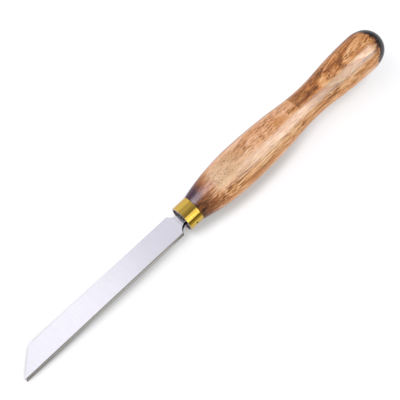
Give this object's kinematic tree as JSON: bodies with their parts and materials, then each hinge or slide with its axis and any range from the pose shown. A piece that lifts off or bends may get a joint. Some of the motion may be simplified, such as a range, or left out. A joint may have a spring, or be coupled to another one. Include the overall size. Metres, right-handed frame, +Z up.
{
  "type": "fluted parting tool",
  "caption": "Woodturning parting tool: taper-ground steel blade with a flute along its wide edge and an angled ground end, brass ferrule and turned hardwood handle.",
  "frame": {"origin": "middle of the tool's box, on the bench that the tool lies on", "axes": "+X from the point towards the butt, +Z up from the bench; the tool lies at rest on both lower corners of its ground end and on the handle's belly"},
  "size_m": [0.3692, 0.0332, 0.0424],
  "materials": {
    "blade": "fine cross-ground, bright",
    "ferrule": "polished",
    "handle": "gloss lacquer over charred ends",
    "tang_epoxy": "cured, smooth"
  },
  "bodies": {
    "root": {"blade": "blade", "ferrule": "ferrule", "handle": "handle", "tang_epoxy": "tang_epoxy"}
  },
  "joints": []
}
